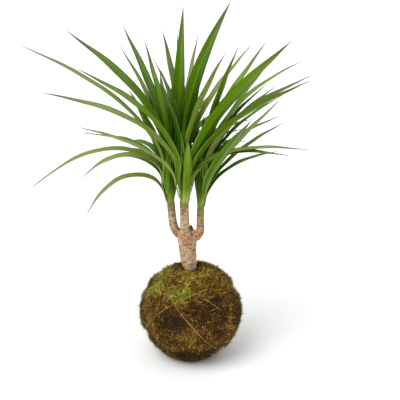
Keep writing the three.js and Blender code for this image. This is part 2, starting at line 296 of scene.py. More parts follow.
def tube(sides, stations):
    """A closed tube whose points lie on the unit circle in X and Y, and at 0, 1, 2 and so on in Z."""
    bm = bmesh.new()
    ring = bmesh.ops.create_circle(bm, cap_ends=True, segments=sides, radius=1)["verts"]
    edges = [e for e in bm.edges if e.verts[0] in ring]
    for face in bm.faces:
        face.normal_flip()
    for _ in range(stations - 1):
        made = bmesh.ops.extrude_edge_only(bm, edges=edges)["geom"]
        edges = [e for e in made if isinstance(e, bmesh.types.BMEdge) and e.is_boundary]
        edges = [e for e in edges if all(v in made for v in e.verts)]
        bmesh.ops.translate(bm, verts=[v for v in made if isinstance(v, bmesh.types.BMVert)], vec=(0, 0, 1))
    bmesh.ops.holes_fill(bm, edges=edges, sides=sides)
    bmesh.ops.recalc_face_normals(bm, faces=bm.faces)
    return shape_of(bm)


def heading(turn, lean):
    """The way that something points which turns round +Z and leans from it, in degrees."""
    turn, lean = np.broadcast_arrays(np.radians(turn), np.radians(lean))
    return np.stack([np.cos(turn) * np.sin(lean), np.sin(turn) * np.sin(lean), np.cos(lean)], -1)


def unit(vectors):
    return vectors / np.maximum(np.linalg.norm(vectors, axis=-1, keepdims=True), 1e-9)


def smoothly(value, start, end):
    """From 0 at start to 1 at end, easing in and out."""
    share = np.clip((value - start) / (end - start), 0, 1)
    return share * share * (3 - 2 * share)


def lumps(points, size, seed):
    """Smooth noise from about -1 to 1, with its lumps about that size."""
    shift = Vector((17.3 * seed, 5.1 * seed, 9.7 * seed))
    return np.array([noise.noise(Vector(p) / size + shift) for p in points])


def smooth_path(points, count):
    """Evenly spaced places on a smooth curve through the points."""
    before = 2 * np.array(points[0]) - points[1]
    after = 2 * np.array(points[-1]) - points[-2]
    ends = [before, *map(np.array, points), after]
    fine = []
    for a, b, c, d in zip(ends, ends[1:], ends[2:], ends[3:]):
        for t in np.linspace(0, 1, 24, endpoint=False):
            fine.append(0.5 * (2 * b + (c - a) * t + (2 * a - 5 * b + 4 * c - d) * t**2
                               + (3 * b - a - 3 * c + d) * t**3))
    fine = np.array([*fine, ends[-2]])
    reach = np.concatenate([[0], np.cumsum(np.linalg.norm(np.diff(fine, axis=0), axis=1))])
    even = np.linspace(0, reach[-1], count)
    return np.stack([np.interp(even, reach, fine[:, k]) for k in range(3)], 1), even


# Materials

def rgb(red, green, blue):
    """A colour as seen on a screen, from 0 to 255, as the linear colour that a shader takes."""
    shown = [value / 255 for value in (red, green, blue)]
    return (*[v / 12.92 if v <= 0.04045 else ((v + 0.055) / 1.055) ** 2.4 for v in shown], 1)


def add(tree, kind, sockets=None, **settings):
    """A node whose sockets take values or other nodes' outputs."""
    made = tree.nodes.new(kind)
    for name, value in settings.items():
        setattr(made, name, value)
    for name, value in (sockets or {}).items():
        if isinstance(value, bpy.types.NodeSocket):
            tree.links.new(value, made.inputs[name])
        else:
            made.inputs[name].default_value = value
    return made


def sums(tree, operation, first, second=0.0):
    return add(tree, "ShaderNodeMath", {0: first, 1: second}, operation=operation).outputs[0]


def ramp(tree, factor, stops):
    """Colours along a factor, each stop a place and a colour."""
    made = add(tree, "ShaderNodeValToRGB", {"Fac": factor})
    elements = made.color_ramp.elements
    while len(elements) < len(stops):
        elements.new(1)
    for element, (place, colour) in zip(elements, stops):
        element.position = place
        element.color = colour
    return made.outputs["Color"]


def fade(tree, factor, *stops):
    """Shares from 0 to 1 along a factor, each stop a place and a share."""
    return ramp(tree, factor, [(place, (share, share, share, 1)) for place, share in stops])


def mixed(tree, factor, first, second, blend="MIX"):
    made = add(tree, "ShaderNodeMix", data_type="RGBA", blend_type=blend)
    for name, value in (("Factor_Float", factor), ("A_Color", first), ("B_Color", second)):
        socket = next(s for s in made.inputs if s.identifier == name)
        if isinstance(value, bpy.types.NodeSocket):
            tree.links.new(value, socket)
        else:
            socket.default_value = value
    return next(s for s in made.outputs if s.identifier == "Result_Color")


def times(tree, first, second):
    return mixed(tree, 1.0, first, second, "MULTIPLY")


def mark(tree, name):
    return add(tree, "ShaderNodeAttribute", attribute_name=name).outputs["Fac"]


def object_place(tree):
    return add(tree, "ShaderNodeTexCoord").outputs["Object"]


def new_material(name, roughness, shine=0.5):
    material = bpy.data.materials.new(name)
    material.use_nodes = True
    shader = material.node_tree.nodes["Principled BSDF"]
    shader.inputs["Roughness"].default_value = roughness
    shader.inputs["Specular IOR Level"].default_value = shine
    return material, material.node_tree, shader


def bump(tree, shader, height, strength, distance):
    made = add(tree, "ShaderNodeBump", {"Height": height, "Strength": strength, "Distance": distance * MM})
    tree.links.new(made.outputs["Normal"], shader.inputs["Normal"])


def make_mottle():
    """Uneven colour and fine relief of grown things: blotches with specks in them, at a given size."""
    group = bpy.data.node_groups.new("mottle", "ShaderNodeTree")
    for name, way, kind in (("Blotches per metre", "INPUT", "Float"), ("Stretch", "INPUT", "Vector"),
                            ("Tone", "OUTPUT", "Float"), ("Relief", "OUTPUT", "Float")):
        group.interface.new_socket(name, in_out=way, socket_type=f"NodeSocket{kind}")
    outer = add(group, "NodeGroupInput").outputs
    place = add(group, "ShaderNodeVectorMath", {0: object_place(group), 1: outer["Stretch"]},
                operation="MULTIPLY").outputs[0]
    finer = sums(group, "MULTIPLY", outer["Blotches per metre"], 5.0)
    coarse = add(group, "ShaderNodeTexNoise", {"Vector": place, "Scale": outer["Blotches per metre"],
                                               "Detail": 4.0, "Roughness": 0.6}).outputs["Fac"]
    fine = add(group, "ShaderNodeTexNoise", {"Vector": place, "Scale": finer, "Detail": 5.0,
                                             "Roughness": 0.7}).outputs["Fac"]
    tone = sums(group, "ADD", sums(group, "MULTIPLY", coarse, 0.65), sums(group, "MULTIPLY", fine, 0.35))
    relief = sums(group, "ADD", sums(group, "MULTIPLY", coarse, 0.4), sums(group, "MULTIPLY", fine, 0.6))
    result = add(group, "NodeGroupOutput")
    group.links.new(tone, result.inputs["Tone"])
    group.links.new(relief, result.inputs["Relief"])
    return group


MOTTLE = make_mottle()


def mottle(tree, blotches, stretch=(1, 1, 1)):
    made = add(tree, "ShaderNodeGroup", node_tree=MOTTLE)
    made.inputs["Blotches per metre"].default_value = blotches
    made.inputs["Stretch"].default_value = stretch
    return made.outputs["Tone"], made.outputs["Relief"]


def soil_material():
    material, tree, shader = new_material("damp_soil", 0.95)
    tone, relief = mottle(tree, 220)
    colour = ramp(tree, tone, [(0.3, rgb(22, 16, 11)), (0.55, rgb(52, 38, 26)), (0.75, rgb(92, 70, 48))])
    tree.links.new(colour, shader.inputs["Base Color"])
    bump(tree, shader, relief, 0.9, 1.2)
    return material


MOSS_TONES = [
    (0.0, rgb(62, 52, 36)),
    (0.22, rgb(82, 56, 24)),
    (0.42, rgb(132, 90, 34)),
    (0.6, rgb(148, 116, 40)),
    (0.78, rgb(198, 189, 76)),
    (1.0, rgb(86, 126, 28)),
]


def moss_bed_material():
    """The dark felt of old moss under the strands, darkened further as painted shade in the gaps between
    them.
    """
    material, tree, shader = new_material("moss_bed", 1.0, shine=0.15)
    tone, relief = mottle(tree, 260)
    uneven = sums(tree, "MULTIPLY", sums(tree, "SUBTRACT", tone, 0.5), 0.9)
    patchy = sums(tree, "ADD", mark(tree, "tone"), uneven)
    # Mixed over half way towards near black: painted shade in the gaps between the strands, over the felt's
    # own tone
    colour = mixed(tree, 0.55, ramp(tree, patchy, MOSS_TONES), rgb(22, 16, 8))
    tree.links.new(colour, shader.inputs["Base Color"])
    bump(tree, shader, relief, 1.0, 1.5)
    return material


def strand_material():
    """Moss strands: each one has its tone and is darker at its root. The lightest are pale tan, partly as
    dry strands and partly as painted highlights.
    """
    material, tree, shader = new_material("moss_strands", 0.75, shine=0.1)
    colour = ramp(tree, mark(tree, "tone"), MOSS_TONES)
    root = ramp(tree, mark(tree, "tip"), [
        (0.0, (0.22, 0.19, 0.12, 1)), (0.6, (0.9, 0.9, 0.85, 1)), (1.0, (1.3, 1.3, 1.1, 1)),
    ])
    # The shade mark darkens strands as painted shade between clumps and makes the brightest up to twice as
    # light as painted highlights
    shade = ramp(tree, mark(tree, "shade"), [
        (0.1, (0.22, 0.19, 0.13, 1)), (0.6, (0.9, 0.9, 0.9, 1)), (0.9, (2.0, 1.95, 1.6, 1)),
    ])
    # The brightest strands turn pale tan, partly as dry strands and partly as painted highlights
    dry_and_highlight = fade(tree, mark(tree, "shade"), (0.68, 0), (0.9, 0.6))
    grown = fade(tree, mark(tree, "tone"), (0.12, 0), (0.4, 1))
    colour = mixed(tree, times(tree, dry_and_highlight, grown), colour, rgb(186, 160, 100))
    colour = times(tree, times(tree, colour, root), shade)
    tree.links.new(colour, shader.inputs["Base Color"])
    return material


def twine_material():
    material, tree, shader = new_material("jute_twine", 0.85)
    tone, relief = mottle(tree, 420)
    colour = ramp(tree, tone, [
        (0.35, rgb(120, 84, 34)), (0.5, rgb(172, 134, 66)), (0.65, rgb(206, 172, 100)),
    ])
    tree.links.new(colour, shader.inputs["Base Color"])
    shader.inputs["Sheen Weight"].default_value = 0.2
    bump(tree, shader, relief, 0.6, 0.2)
    return material


def bark_material():
    """Pinkish grey bark with dark flecks, rings of old leaf scars, and rusty cork at the forks."""
    material, tree, shader = new_material("cane_bark", 0.8, shine=0.3)
    tone, relief = mottle(tree, 300, (0.8, 0.8, 1.3))
    colour = ramp(tree, tone, [
        (0.34, rgb(88, 62, 40)), (0.42, rgb(140, 108, 78)), (0.5, rgb(178, 146, 114)),
        (0.58, rgb(200, 174, 144)), (0.66, rgb(222, 208, 190)),
    ])
    flecks = add(tree, "ShaderNodeTexVoronoi", {
        "Vector": object_place(tree), "Scale": 300.0, "Randomness": 1.0,
    })
    fleck = fade(tree, flecks.outputs["Distance"], (0.12, 1), (0.3, 0))
    where = fade(tree, tone, (0.42, 1), (0.54, 0))
    colour = mixed(tree, times(tree, fleck, where), colour, rgb(84, 58, 38))
    cork = ramp(tree, tone, [
        (0.38, rgb(92, 48, 20)), (0.48, rgb(158, 92, 46)), (0.56, rgb(190, 136, 78)),
        (0.64, rgb(216, 178, 120)),
    ])
    colour = mixed(tree, mark(tree, "callus"), colour, cork)
    colour = mixed(tree, mark(tree, "scar"), colour, rgb(78, 56, 36))
    young = ramp(tree, tone, [(0.4, rgb(84, 76, 32)), (0.6, rgb(148, 140, 74))])
    colour = mixed(tree, mark(tree, "young"), colour, young)
    colour = mixed(tree, mark(tree, "sawn"), colour, rgb(66, 44, 24))
    tree.links.new(colour, shader.inputs["Base Color"])
    bump(tree, shader, relief, 1.0, 0.8)
    return material


def leaf_material():
    """A satin blade with fine veins along it, pale where it clasps the stem, dull at its margin and tip, and
    darker over its lower part as painted shade inside the crown.
    """
    material, tree, shader = new_material("leaf_blade", 0.45, shine=0.08)
    names = ("across", "along", "rise", "tint", "skin")
    across, along, rise, tint, skin = (mark(tree, name) for name in names)
    grain_place = add(tree, "ShaderNodeCombineXYZ", {
        "X": sums(tree, "MULTIPLY", across, 9.0), "Y": sums(tree, "MULTIPLY", along, 1.2),
        "Z": sums(tree, "MULTIPLY", tint, 40.0),
    }).outputs[0]
    grain = add(tree, "ShaderNodeTexNoise", {
        "Vector": grain_place, "Scale": 1.6, "Detail": 4.0,
    }).outputs["Fac"]
    body = sums(tree, "ADD", sums(tree, "MULTIPLY", tint, 0.6), sums(tree, "MULTIPLY", grain, 0.4))
    green = ramp(tree, body, [
        (0.2, rgb(34, 82, 0)), (0.42, rgb(60, 112, 0)), (0.6, rgb(94, 130, 0)), (0.8, rgb(134, 150, 86)),
    ])
    under = ramp(tree, body, [
        (0.2, rgb(54, 98, 0)), (0.42, rgb(80, 122, 0)), (0.6, rgb(106, 136, 24)), (0.8, rgb(148, 162, 108)),
    ])
    colour = mixed(tree, fade(tree, skin, (0.42, 1), (0.5, 0)), green, under)
    from_rib = sums(tree, "ABSOLUTE", across)
    rib = fade(tree, from_rib, (0, 0.35), (0.12, 0))
    colour = mixed(tree, rib, colour, rgb(150, 178, 62))
    # Darker over the lower part of each leaf and in the heart: painted shade inside the crown
    painted_crown_shade = ramp(tree, along, [
        (0.0, (0.68, 0.7, 0.45, 1)), (0.36, (0.8, 0.82, 0.5, 1)), (0.62, (1, 1, 1, 1)),
    ])
    colour = times(tree, colour, painted_crown_shade)
    base = fade(tree, rise, (0, 1), (0.3, 0.7), (0.9, 0))
    colour = mixed(tree, base, colour, rgb(162, 176, 78))
    foot = fade(tree, rise, (0, 1), (0.18, 0))
    colour = mixed(tree, foot, colour, rgb(150, 144, 76))
    veins = add(tree, "ShaderNodeTexWave", {
        "Vector": grain_place, "Scale": 1.4, "Distortion": 0.6, "Detail": 1.0,
    }, bands_direction="X").outputs["Fac"]
    streak = ramp(tree, sums(tree, "MULTIPLY", sums(tree, "ADD", grain, veins), 0.5), [
        (0.3, (0.52, 0.6, 0.45, 1)), (0.5, (1, 1, 1, 1)), (0.7, (1.4, 1.3, 1.4, 1)),
    ])
    colour = times(tree, colour, streak)
    lit_half = fade(tree, sums(tree, "ADD", across, 0.5), (0.5, 0), (0.62, 1))
    lit_part = fade(tree, along, (0.45, 0), (0.88, 0.4))
    colour = mixed(tree, times(tree, lit_half, lit_part), colour, rgb(152, 174, 108))
    edge = fade(tree, from_rib, (0.72, 0), (0.95, 1))
    pale_edge = fade(tree, along, (0.02, 0), (0.06, 0.6), (0.3, 0.4), (0.5, 0))
    colour = mixed(tree, times(tree, edge, pale_edge), colour, rgb(176, 196, 110))
    older = fade(tree, along, (0.25, 0), (0.6, 0.5))
    colour = mixed(tree, times(tree, edge, older), colour, rgb(70, 66, 30))
    tip = fade(tree, along, (0.76, 0), (0.96, 0.85))
    colour = mixed(tree, tip, colour, rgb(98, 90, 66))
    tree.links.new(colour, shader.inputs["Base Color"])
    bump(tree, shader, veins, 0.4, 0.15)
    shader.inputs["Specular Tint"].default_value = (0.8, 1, 0.25, 1)
    return material


# Camera, floor and lights

def make_camera():
    camera = placed("camera", bpy.data.cameras.new("camera"))
    camera.data.lens = LENS
    camera.data.sensor_width = 36
    camera.location = Vector(EYE) * MM
    camera.rotation_euler = (math.radians(90 - LOOKS_DOWN), 0, 0)
    bpy.context.scene.camera = camera


def make_stage():
    bm = bmesh.new()
    bmesh.ops.create_grid(bm, x_segments=1, y_segments=1, size=FLOOR_REACH)
    mesh = bpy.data.meshes.new("floor")
    bm.to_mesh(mesh)
    bm.free()
    floor = placed("floor", mesh)
    material, _, shader = new_material("pale_floor", 0.9)
    shader.inputs["Base Color"].default_value = (FLOOR_SHADE, FLOOR_SHADE, FLOOR_SHADE, 1)
    mesh.materials.append(material)

    world = bpy.data.worlds.new("soft_room")
    world.use_nodes = True
    world.node_tree.nodes["Background"].inputs["Color"].default_value = (1, 1, 1, 1)
    world.node_tree.nodes["Background"].inputs["Strength"].default_value = ROOM_LIGHT
    bpy.context.scene.world = world
    bpy.context.scene.view_settings.view_transform = "Standard"


def make_sun(name, turn, lean, strength, softness):
    lamp = placed(name, bpy.data.lights.new(name, "SUN"))
    lamp.data.energy = strength
    lamp.data.angle = math.radians(softness)
    lamp.location = heading(turn, lean)
    lamp.rotation_euler = lamp.location.to_track_quat("Z", "Y").to_euler()


# Moss

def moss_height(ways):
    """How far the moss stands out from the ball, as in the part's source but for the crevice and a dent
    that is fuller at its back."""
    height = 0
    for run, waves, tall, shift in SWELLS:
        height = height + tall * np.sin(waves * (ways @ np.array(run)) + shift)
    for loop in TWINE_LOOPS:
        across = BALL_RADIUS * (ways @ heading(*loop))
        height = height - VALLEY_DEPTH * np.exp(-((across / VALLEY_WIDTH) ** 2))
    from_cane = BALL_RADIUS * np.hypot(ways[:, 0], ways[:, 1])
    behind = smoothly(BALL_RADIUS * ways[:, 1], -4, 8)
    dent = DENT_DEPTH * (1 - 0.9 * behind) * np.exp(-((from_cane / DENT_WIDTH) ** 2))
    dent = dent + CREVICE_DEPTH * np.exp(-((from_cane / CREVICE_WIDTH) ** 4))
    return height - np.where(ways[:, 2] > 0, dent, 0)


def moss_tone(ways):
    places = ways * BALL_RADIUS
    tone = 0.38 + 0.22 * lumps(places, 13, 1) + 0.25 * lumps(places, 5, 2) + 0.02 * ways[:, 2]
    for turn, lean, reach, aim in MOSS_PATCHES:
        away = np.degrees(np.arccos(np.clip(ways @ heading(turn, lean), -1, 1)))
        tone = tone + (aim - tone) * 0.85 * np.exp(-((away / reach) ** 2))
    return tone + 0.12 * lumps(places, 2.5, 3)


def make_moss_bed(material):
    bm = bmesh.new()
    bmesh.ops.create_icosphere(bm, subdivisions=7, radius=1)
    shape = shape_of(bm)
    ways = unit(shape[0])
    places = ways * BALL_RADIUS
    rough = 0.7 * lumps(places, 5, 4) + 0.45 * lumps(places, 1.8, 5)
    points = ways * (BALL_RADIUS + moss_height(ways) - BED_DEPTH + rough)[:, None] + BALL_CENTRE
    points[:, 2] = np.maximum(points[:, 2], 0)
    mesh = gathered("moss_bed", [(points[None], shape[1])], {"tone": moss_tone(ways)})
    make_piece(mesh, material, "moss", "moss_cover")


def fibre_shape(bend, rise, droop):
    """A thin strand one long and one wide, lying along +X and tapering to its tip."""
    bm = bmesh.new()
    bmesh.ops.create_grid(bm, x_segments=4, y_segments=1, size=0.5)
    for v in bm.verts:
        s = v.co.x + 0.5
        v.co = (s, 0, 0) if s > 0.99 else (s, v.co.y * (1 - 0.6 * s), 0)
        v.co.y += bend * s * s * 10
        v.co.z = rise * math.sin(math.pi * s) - droop * s * s
    bmesh.ops.remove_doubles(bm, verts=bm.verts, dist=1e-5)
    return shape_of(bm)


def frond_shape(bend, rise, droop):
    """A feathery moss frond one long, with small leaves on both sides of its stem."""
    bm = bmesh.new()
    bmesh.ops.create_grid(bm, x_segments=2, y_segments=1, size=0.5)
    for v in bm.verts:
        s = v.co.x + 0.5
        v.co = (s, v.co.y * 0.13 * (1.1 - s), 0)
    for i in range(FROND_LEAVES):
        s, side = 0.1 + 0.11 * i, 1 if i % 2 else -1
        wide = 0.125 * (1 - 0.5 * s)
        leaf = [(s, 0, 0), (s + 0.1, side * wide * 0.35, 0.02), (s + 0.16, side * wide, 0.05)]
        bm.faces.new([bm.verts.new(corner) for corner in leaf])
    for v in bm.verts:
        s = v.co.x
        v.co.y += bend * s * s
        v.co.z += rise * math.sin(math.pi * s) - droop * s * s
    return shape_of(bm)


def scattered_ways(count):
    """Places all over the ball, evenly but not in rows."""
    i = np.arange(count)
    up = 1 - 2 * (i + 0.5) / count
    turn = i * math.pi * (3 - math.sqrt(5))
    flat = np.sqrt(1 - up * up)
    ways = np.stack([flat * np.cos(turn), flat * np.sin(turn), up], 1)
    return unit(ways + chance.normal(0, 1.2 / math.sqrt(count), ways.shape))


def loop_axes(loop):
    """The axis of a loop of twine and the two ways that it runs through at 0 and at 90 degrees."""
    axis = heading(*loop)
    first = unit(np.cross(axis, [0.3, 1, 0.2]))
    return axis, first, np.cross(axis, first)


def hidden_share(degrees, hidden):
    """How far the moss has closed over a loop of twine, from 0 to 1, at places along it."""
    closed = 0
    for start, end in hidden:
        past = (degrees - start + 60) % 360 - 60
        whole = end - start
        closed = np.maximum(closed, smoothly(past, -8, 4) * smoothly(past, whole + 8, whole - 4))
    return closed


def from_twine(ways):
    """How far each place lies from the nearest loop of twine that shows."""
    away = []
    for loop, hidden in zip(TWINE_LOOPS, TWINE_HIDDEN):
        axis, first, second = loop_axes(loop)
        degrees = np.degrees(np.arctan2(ways @ second, ways @ first))
        away.append(np.abs(BALL_RADIUS * (ways @ axis)) + CLOSED_OVER * hidden_share(degrees, hidden))
    return np.min(away, axis=0)


def in_the_way(ways, by_cane, by_twine, part_of_them):
    """The strands that would grow beside the cane and, of those over twine that shows, that part."""
    beside_cane = (BALL_RADIUS * np.hypot(ways[:, 0], ways[:, 1]) < by_cane) & (ways[:, 2] > 0)
    return beside_cane | ((from_twine(ways) < by_twine) & (chance.random(len(ways)) < part_of_them))


def lay_strands(name, shapes, ways, length, width, lift, tone, bright, material):
    """Stamps strands on the moss: each lies along the moss with its own length, width, lift and tone."""
    count = len(ways)
    roots = ways * (BALL_RADIUS + moss_height(ways) - ROOT_DEPTH)[:, None] + BALL_CENTRE
    east = unit(np.cross([0, 0, 1], ways))
    north = np.cross(ways, east)
    flow = 3.5 * lumps(ways * BALL_RADIUS, 16, 6) + chance.normal(0, 0.9, count)
    flat = np.cos(flow)[:, None] * east + np.sin(flow)[:, None] * north
    raised = np.radians(lift)[:, None]
    ahead = np.cos(raised) * flat + np.sin(raised) * ways
    up = np.cos(raised) * ways - np.sin(raised) * flat
    side = np.cross(up, ahead)
    stamps, tones, tips, shades = [], [], [], []
    # Each strand's shade: random per strand and lifted by bright, with painted shade in the crevices between
    # clumps of strands
    shade = np.clip(0.6 * chance.random(count) + bright + 0.45 * lumps(ways * BALL_RADIUS, 2.3, 7), 0, 1)
    for k, (points, faces) in enumerate(shapes):
        mine = np.arange(k, count, len(shapes))
        reach = length[mine, None, None]
        places = (roots[mine, None] + points[None, :, 0:1] * reach * ahead[mine, None]
                  + points[None, :, 1:2] * width[mine, None, None] * side[mine, None]
                  + points[None, :, 2:3] * reach * up[mine, None])
        places[:, :, 2] = np.maximum(places[:, :, 2], LOWEST_STRAND)
        stamps.append((places, faces))
        tones.append(np.repeat(tone[mine], len(points)))
        shades.append(np.repeat(shade[mine], len(points)))
        tips.append(np.tile(points[:, 0], len(mine)))
    marks = {"tone": np.concatenate(tones), "tip": np.concatenate(tips), "shade": np.concatenate(shades)}
    make_piece(gathered(name, stamps, marks), material, "moss")


def make_moss():
    make_moss_bed(moss_bed_material())
    strands = strand_material()
    bends = []
    for _ in range(STRAND_SHAPES):
        bends.append((chance.uniform(-0.04, 0.04), chance.uniform(0.02, 0.12), chance.uniform(0.05, 0.2)))

    # Fibres, fewer where the moss is bare
    ways = scattered_ways(FIBRES)
    ways = ways[~in_the_way(ways, by_cane=9, by_twine=1.6, part_of_them=0.75)]
    tone = moss_tone(ways)
    kept = chance.random(len(ways)) > 0.75 * smoothly(tone, 0.16, 0)
    ways, tone = ways[kept], tone[kept]
    count = len(ways)
    tone = tone + chance.normal(0, 0.18, count) * smoothly(tone, -0.1, 0.3)
    length = chance.uniform(*FIBRE_LENGTHS, count)
    stray = chance.random(count) < STRAY_PART
    lift = np.where(stray, chance.uniform(*STRAY_LIFTS, count), chance.normal(*FIBRE_LIFT, count))
    width = chance.uniform(*FIBRE_WIDTHS, count)
    shapes = [fibre_shape(*bend) for bend in bends]
    lay_strands("moss_fibres", shapes, ways, length, width, lift, tone, bright=0.12, material=strands)

    # Fronds, none where the moss is bare
    ways = scattered_ways(FRONDS)
    crowded = in_the_way(ways, by_cane=10, by_twine=2.2, part_of_them=0.8)
    tone = moss_tone(ways)
    bare = tone < chance.uniform(0.04, 0.36, FRONDS)
    tone = tone + chance.normal(0, 0.17, FRONDS) * smoothly(tone, 0, 0.4)
    kept = ~(crowded | bare)
    ways, tone = ways[kept], tone[kept]
    count = len(ways)
    length = chance.uniform(*FROND_LENGTHS, count)
    lift = chance.normal(*FROND_LIFT, count)
    shapes = [frond_shape(6 * bend, rise, droop) for bend, rise, droop in bends]
    lay_strands("moss_fronds", shapes, ways, length, length, lift, tone, bright=0.3, material=strands)


# Twine

def make_twine():
    bed = bpy.data.objects["moss_bed"].data
    surface = BVHTree.FromPolygons([v.co / MM for v in bed.vertices], [p.vertices for p in bed.polygons])
    shape, faces = tube(6, TWINE_STEPS)
    station = shape[:, 2].astype(int)
    stamps = []
    for loop, hidden in zip(TWINE_LOOPS, TWINE_HIDDEN):
        axis, first, second = loop_axes(loop)
        round_ = np.linspace(0, 2 * math.pi, TWINE_STEPS)
        ways = np.cos(round_)[:, None] * first + np.sin(round_)[:, None] * second
        reach = []
        for way in ways:
            far = Vector(BALL_CENTRE + 2 * BALL_RADIUS * way)
            reach.append(2 * BALL_RADIUS - surface.ray_cast(far, Vector(-way))[3])
        reach = np.array(reach)
        nearby = np.stack([np.roll(reach, k) for k in range(-TWINE_EASE, TWINE_EASE + 1)])
        reach = 0.5 * nearby.max(0) + 0.5 * nearby.mean(0) + 1.2 * TWINE_RADIUS
        reach = reach - HIDDEN_DEPTH * hidden_share(np.degrees(round_), hidden)
        turns = round(2 * math.pi * BALL_RADIUS / PLY_TURN)
        for ply in range(PLIES):
            twist = turns * round_ + 2 * math.pi * ply / PLIES
            out = (TWINE_RADIUS - PLY_RADIUS) * np.cos(twist)
            over = (TWINE_RADIUS - PLY_RADIUS) * np.sin(twist)
            middle = ways * (reach + out)[:, None] + axis * over[:, None] + BALL_CENTRE
            points = (middle[station] + shape[:, 0:1] * PLY_RADIUS * ways[station]
                      + shape[:, 1:2] * PLY_RADIUS * axis)
            stamps.append((points[None], faces))
    make_piece(gathered("twine_plies", stamps), twine_material(), "twine", "twine")


# Cane

def limb(path, radii, sides=28):
    """A closed round limb along a path."""
    shape, faces = tube(sides, len(path))
    station = np.round(shape[:, 2]).astype(int)
    along = unit(np.gradient(path, axis=0))
    first = unit(np.cross(along, [0.1, 1, 0]))
    second = np.cross(along, first)
    outwards = shape[:, 0:1] * first[station] + shape[:, 1:2] * second[station]
    return path[station] + radii[station, None] * outwards, faces


def ball_shape(centre, half_sizes):
    bm = bmesh.new()
    bmesh.ops.create_icosphere(bm, subdivisions=4, radius=1)
    bmesh.ops.scale(bm, vec=half_sizes, verts=bm.verts)
    bmesh.ops.translate(bm, vec=centre, verts=bm.verts)
    return shape_of(bm)


def grown_together(mesh, voxel, rounds):
    """The mesh's pieces grown into one skin, with its creases smoothed."""
    rough = placed("rough", mesh)
    remesh = rough.modifiers.new("grow", "REMESH")
    remesh.mode = "VOXEL"
    remesh.voxel_size = voxel * MM
    smooth = rough.modifiers.new("smooth", "SMOOTH")
    smooth.factor = 0.5
    smooth.iterations = rounds
    shown = rough.evaluated_get(bpy.context.evaluated_depsgraph_get())
    skin = bpy.data.meshes.new_from_object(shown)
    bpy.data.objects.remove(rough)
    return skin


def make_cane():
    centres = np.array([centre for centre, _ in CANE], float)
    wide = np.array([radius for _, radius in CANE])
    heights = np.arange(centres[0, 2], centres[-1, 2] + 0.01, CANE_STEP)
    path = np.stack([np.interp(heights, centres[:, 2], centres[:, k]) for k in range(3)], 1)
    parts = [limb(path, np.interp(heights, centres[:, 2], wide))]
    guide, along, spans = [], [], []
    for points, radius in SHOOTS.values():
        path, reach = smooth_path(points, 40)
        share = reach / reach[-1]
        parts.append(limb(path, radius * (1 + 0.25 * (1 - share) ** 2) + SMOOTHED_AWAY, sides=20))
        guide.extend(path)
        along.extend(reach)
        spans.extend([(radius, reach[-1])] * len(path))
    parts.extend(ball_shape(*knob) for knob in KNOBS)
    loose = gathered("cane_parts", [(points[None], faces) for points, faces in parts])
    mesh = grown_together(loose, BARK_VOXEL, BARK_ROUNDS)
    mesh.name = "cane_bark"

    points = points_of(mesh)
    tree = KDTree(len(guide))
    for i, place in enumerate(guide):
        tree.insert(place, i)
    tree.balance()
    near = [tree.find(p)[1:] for p in points]
    index = np.array([i for i, _ in near])
    away = np.array([d for _, d in near])
    radius = np.array(spans)[index, 0]
    reach = np.array(along)[index]
    length = np.array(spans)[index, 1]
    on_shoot = smoothly(away, radius * 1.6, radius * 1.15) * smoothly(reach, 9, 14)
    ring = (reach + 0.5 * lumps(points, 6, 11)) / SCAR_SPACING % 1
    aged = 0.4 + 0.6 * smoothly(reach, length - 20, length - 6)
    scar = np.exp(-((np.minimum(ring, 1 - ring) / SCAR_WIDTH) ** 2)) * on_shoot * aged
    callus = np.zeros(len(points))
    for centre, spread, strength in CALLUSES:
        from_centre = np.linalg.norm(points - centre, axis=1)
        callus = np.maximum(callus, strength * np.exp(-((from_centre / spread) ** 2)))
    sawn = smoothly(points[:, 2], *SAWN_HEIGHTS) * (1 - on_shoot)
    sawn = sawn * smoothly(away, radius * 1.1, radius * 1.4)
    ways = np.empty(3 * len(points), np.float32)
    mesh.vertices.foreach_get("normal", ways)
    ways = ways.reshape(-1, 3)
    rough = 0.3 * lumps(points * (1, 1, 0.5), 2.6, 12) + 0.14 * lumps(points, 1.1, 13)
    rough = rough + 0.7 * callus * lumps(points, 2.4, 14)
    step = 0.3 * (0.5 - ring) * on_shoot
    move_points(mesh, points + ways * (rough * (1 - 0.5 * on_shoot) + step)[:, None])
    mark_points(mesh, "scar", scar * 0.75)
    mark_points(mesh, "callus", callus)
    mark_points(mesh, "sawn", sawn)
    mark_points(mesh, "young", on_shoot * (0.2 + 0.75 * smoothly(reach, length - 11, length - 4)))
    make_piece(mesh, bark_material(), "bark", "cane")


# Leaves

def part(number):
    return number - math.floor(number)


def seen_leaves(name, start):
    return [
        {"turn": turn, "first": first, "last": last, "length": length, "width": width, "sweep": 0,
         "twist": 10 * math.sin(2.4 * i + start), "looks": LEAF_LOOKS[name][i],
         "age": 0.85 if length < SHORT_LEAF else 1}
        for i, (turn, first, last, length, width) in enumerate(LEAVES[name])
    ]


def other_leaves(start):
    """The rest of a crown: leaves that arch out at the back, and short upright ones in the heart."""
    leaves = []
    for i in range(BACK_LEAVES):
        spread, low = part(start + i * GOLDEN_PART), part(0.37 + i * GOLDEN_PART**2)
        leaves.append({"turn": 25 + 130 * spread, "first": 7 + 10 * low, "last": 62 + 46 * low,
                       "length": 142 - 28 * low, "width": 9.5 + 1.5 * spread, "sweep": 16 * (spread - 0.5),
                       "twist": 24 * math.sin(2.4 * i), "age": 1})
    for i in range(HEART_LEAVES):
        inner = i / (HEART_LEAVES - 1)
        leaves.append({"turn": 360 * part(start + i * GOLDEN_PART), "first": 3, "last": 28 - 22 * inner,
                       "length": 120 - 62 * inner, "width": 10.5 - 3 * inner, "sweep": 0,
                       "twist": 16 * math.sin(1.7 * i), "room": 0.4, "age": 0.7})
    return leaves


